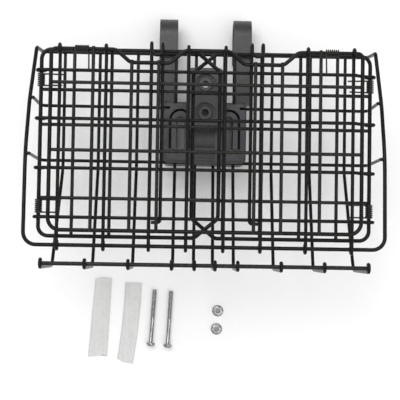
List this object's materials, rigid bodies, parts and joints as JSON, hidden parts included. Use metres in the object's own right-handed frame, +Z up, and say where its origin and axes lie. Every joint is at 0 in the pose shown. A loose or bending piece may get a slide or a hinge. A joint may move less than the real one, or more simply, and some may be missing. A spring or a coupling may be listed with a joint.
{
  "type": "folding handlebar basket",
  "caption": "Folding wire handlebar basket, folded flat, with hinged floor, side and front walls, a two-hook bar bracket with release slider, and its loose clamp kit.",
  "frame": {"origin": "on the table, below the middle of the hinge between the back and floor grids", "axes": "+Z up from the table; +Y from that hinge towards the bar hooks; +X to the right"},
  "size_m": [0.3702, 0.3878, 0.192],
  "materials": {
    "black_wire": "semi-gloss black powder coat",
    "spring_steel": "dark oiled spring wire",
    "grey_plastic": "dark grey moulded nylon, fine grain",
    "slider_plastic": "black moulded nylon, satin",
    "black_steel": "dark coated screw steel",
    "zinc_steel": "bright zinc plate",
    "clear_rubber": "translucent soft rubber"
  },
  "bodies": {
    "back_wall": {"back_rim_loop": "black_wire", "back_cross_wires": "black_wire", "back_uprights": "black_wire", "back_ledge_rod": "black_wire", "bracket_inner_plate": "grey_plastic", "bracket_centre_block": "grey_plastic", "bracket_body": "grey_plastic", "hook_arm_left": "grey_plastic", "hook_arm_right": "grey_plastic", "slider_spring": "spring_steel", "bracket_screws": "black_steel", "bracket_nut": "black_steel", "loose_clamp_bolts": "zinc_steel", "loose_clamp_nuts": "zinc_steel", "loose_grip_strips": "clear_rubber"},
    "floor_panel": {"floor_cross_wires": "black_wire", "floor_latch_wires": "black_wire", "floor_long_wires": "black_wire", "side_springs_left": "spring_steel", "side_springs_right": "spring_steel", "front_springs": "spring_steel"},
    "left_wall": {"side_left_frame": "black_wire", "side_left_ribs": "black_wire", "side_left_rails": "black_wire"},
    "right_wall": {"side_right_frame": "black_wire", "side_right_ribs": "black_wire", "side_right_rails": "black_wire"},
    "front_wall": {"front_frame": "black_wire", "front_uprights": "black_wire", "front_cross_wires": "black_wire"},
    "slider": {"release_slider": "slider_plastic"}
  },
  "joints": [
    {"name": "floor_hinge", "type": "hinge", "parent": "back_wall", "child": "floor_panel", "pos_m": [0, 0, 0.1445], "axis": [1, 0, 0], "range_deg": [0, 90]},
    {"name": "left_wall_hinge", "type": "hinge", "parent": "floor_panel", "child": "left_wall", "pos_m": [-0.1675, 0, 0.141], "axis": [0, 1, 0], "range_deg": [0, 90], "deforming": ["side_springs_left"]},
    {"name": "right_wall_hinge", "type": "hinge", "parent": "floor_panel", "child": "right_wall", "pos_m": [0.1675, 0, 0.1321], "axis": [0, -1, 0], "range_deg": [0, 90], "deforming": ["side_springs_right"]},
    {"name": "front_wall_hinge", "type": "hinge", "parent": "floor_panel", "child": "front_wall", "pos_m": [0, 0.197, 0.1527], "axis": [-1, 0, 0], "range_deg": [0, 270], "deforming": ["front_springs"]},
    {"name": "release_slide", "type": "slide", "parent": "back_wall", "child": "slider", "axis": [0, 1, 0], "range_m": [0, 0.005], "stiffness_N_per_m": 400, "springref_m": -0.003, "deforming": ["slider_spring"]}
  ],
  "couplings": [
    {"joint": "left_wall_hinge", "follows": "floor_hinge", "ratio": 1},
    {"joint": "right_wall_hinge", "follows": "floor_hinge", "ratio": 1},
    {"joint": "front_wall_hinge", "follows": "floor_hinge", "ratio": 3}
  ]
}
